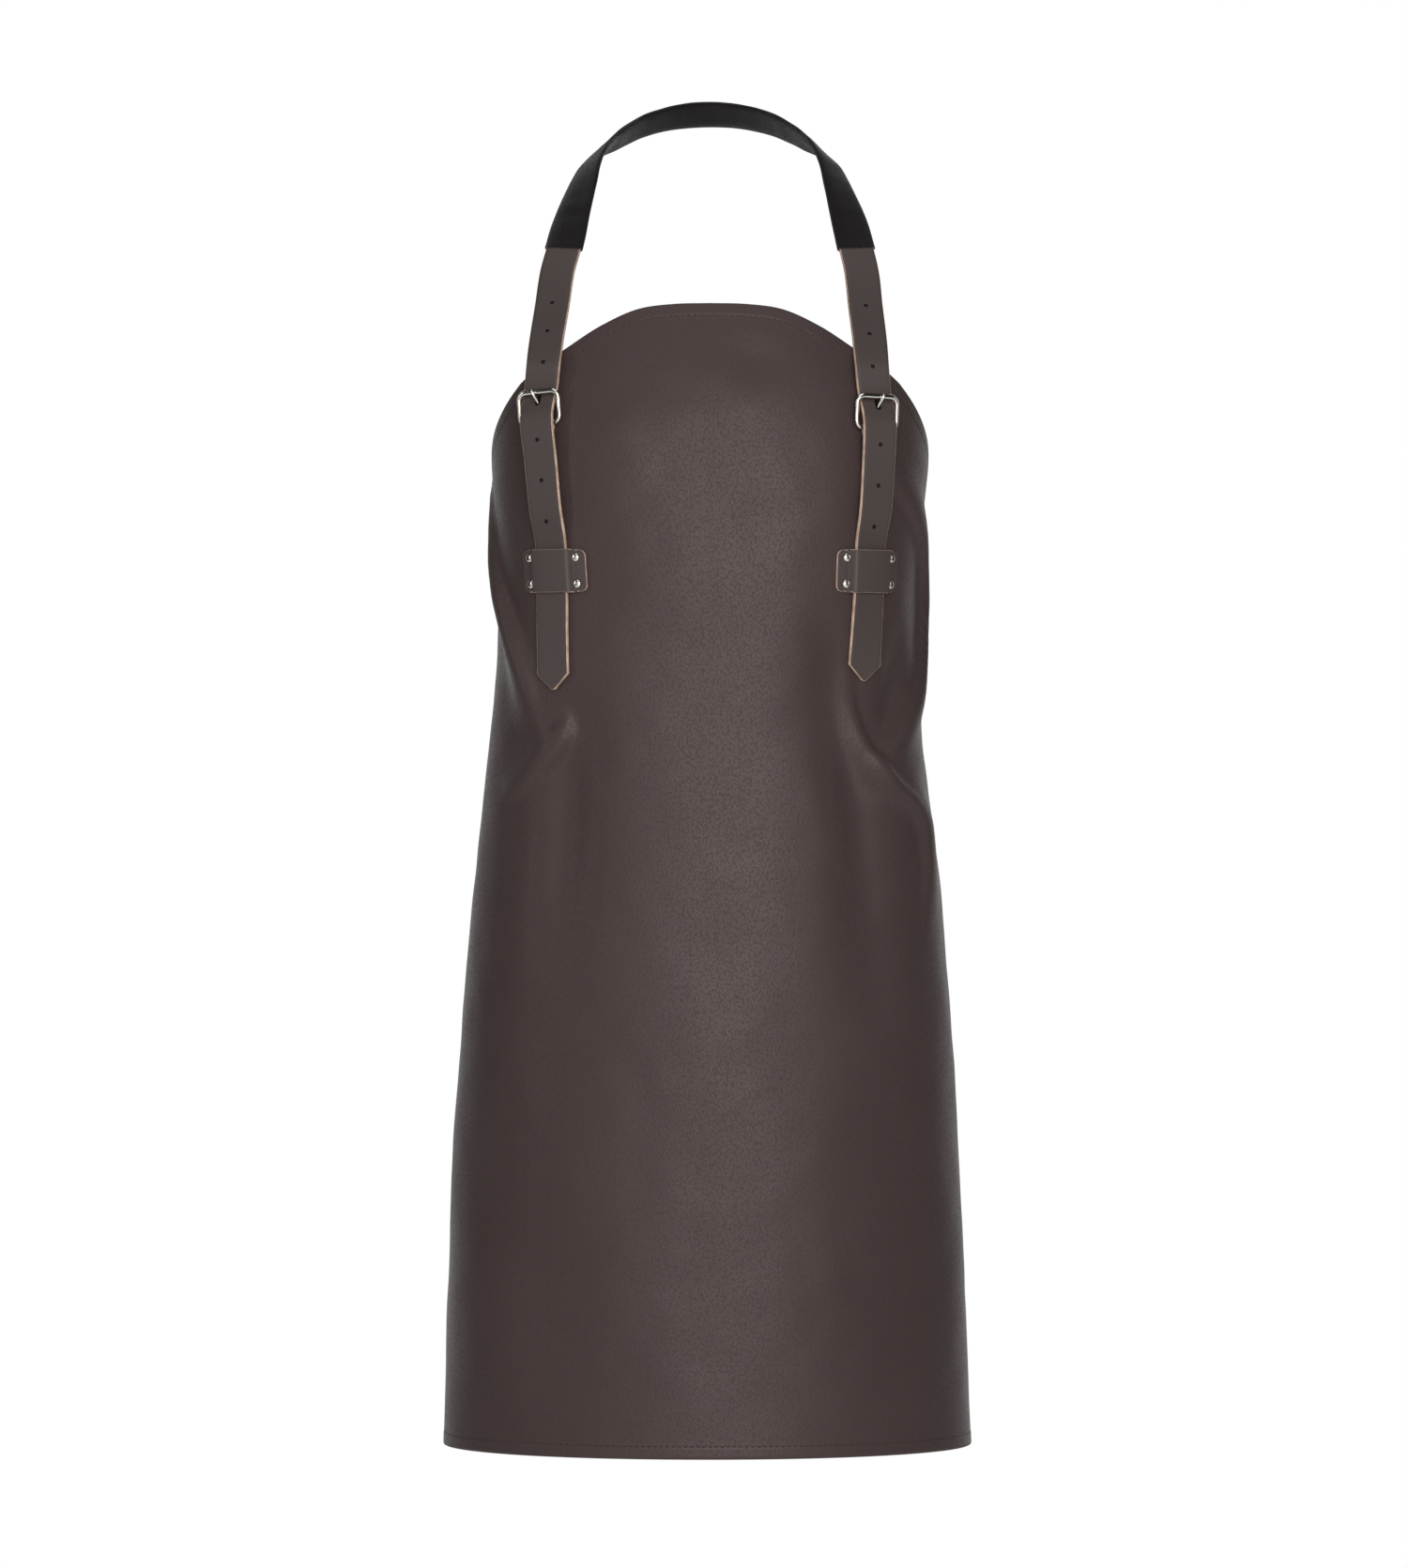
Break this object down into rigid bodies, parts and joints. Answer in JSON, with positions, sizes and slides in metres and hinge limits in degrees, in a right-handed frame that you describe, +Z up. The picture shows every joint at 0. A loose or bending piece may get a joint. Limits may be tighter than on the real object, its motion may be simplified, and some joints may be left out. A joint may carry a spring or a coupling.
{
  "type": "leather bib apron",
  "caption": "Leather work apron with a rounded bib, a buckled leather neck strap in a fabric sleeve, and riveted strap keepers.",
  "frame": {"origin": "behind the neck, in the middle of the neck sleeve's inner face", "axes": "+Z up as the apron is worn, -Y out of the front of the apron, +X to the right of someone who looks at its front"},
  "size_m": [0.3794, 0.205, 0.97],
  "materials": {
    "apron_leather": "dark brown pebbled leather, soft sheen",
    "strap_leather": "smooth dark brown leather with raw tan cut edges",
    "nickel": "bright nickel plate",
    "sleeve_fabric": "black close-woven fabric"
  },
  "bodies": {
    "root": {"apron_panel": "apron_leather", "neck_strap": "strap_leather", "neck_sleeve": "sleeve_fabric", "buckle_frame_left": "nickel", "buckle_prong_left": "nickel", "chape_left": "strap_leather", "chape_rivet_left": "nickel", "keeper_left": "strap_leather", "keeper_rivet_left_1": "nickel", "keeper_rivet_left_2": "nickel", "keeper_rivet_left_3": "nickel", "keeper_rivet_left_4": "nickel", "buckle_frame_right": "nickel", "buckle_prong_right": "nickel", "chape_right": "strap_leather", "chape_rivet_right": "nickel", "keeper_right": "strap_leather", "keeper_rivet_right_1": "nickel", "keeper_rivet_right_2": "nickel", "keeper_rivet_right_3": "nickel", "keeper_rivet_right_4": "nickel"}
  },
  "joints": []
}
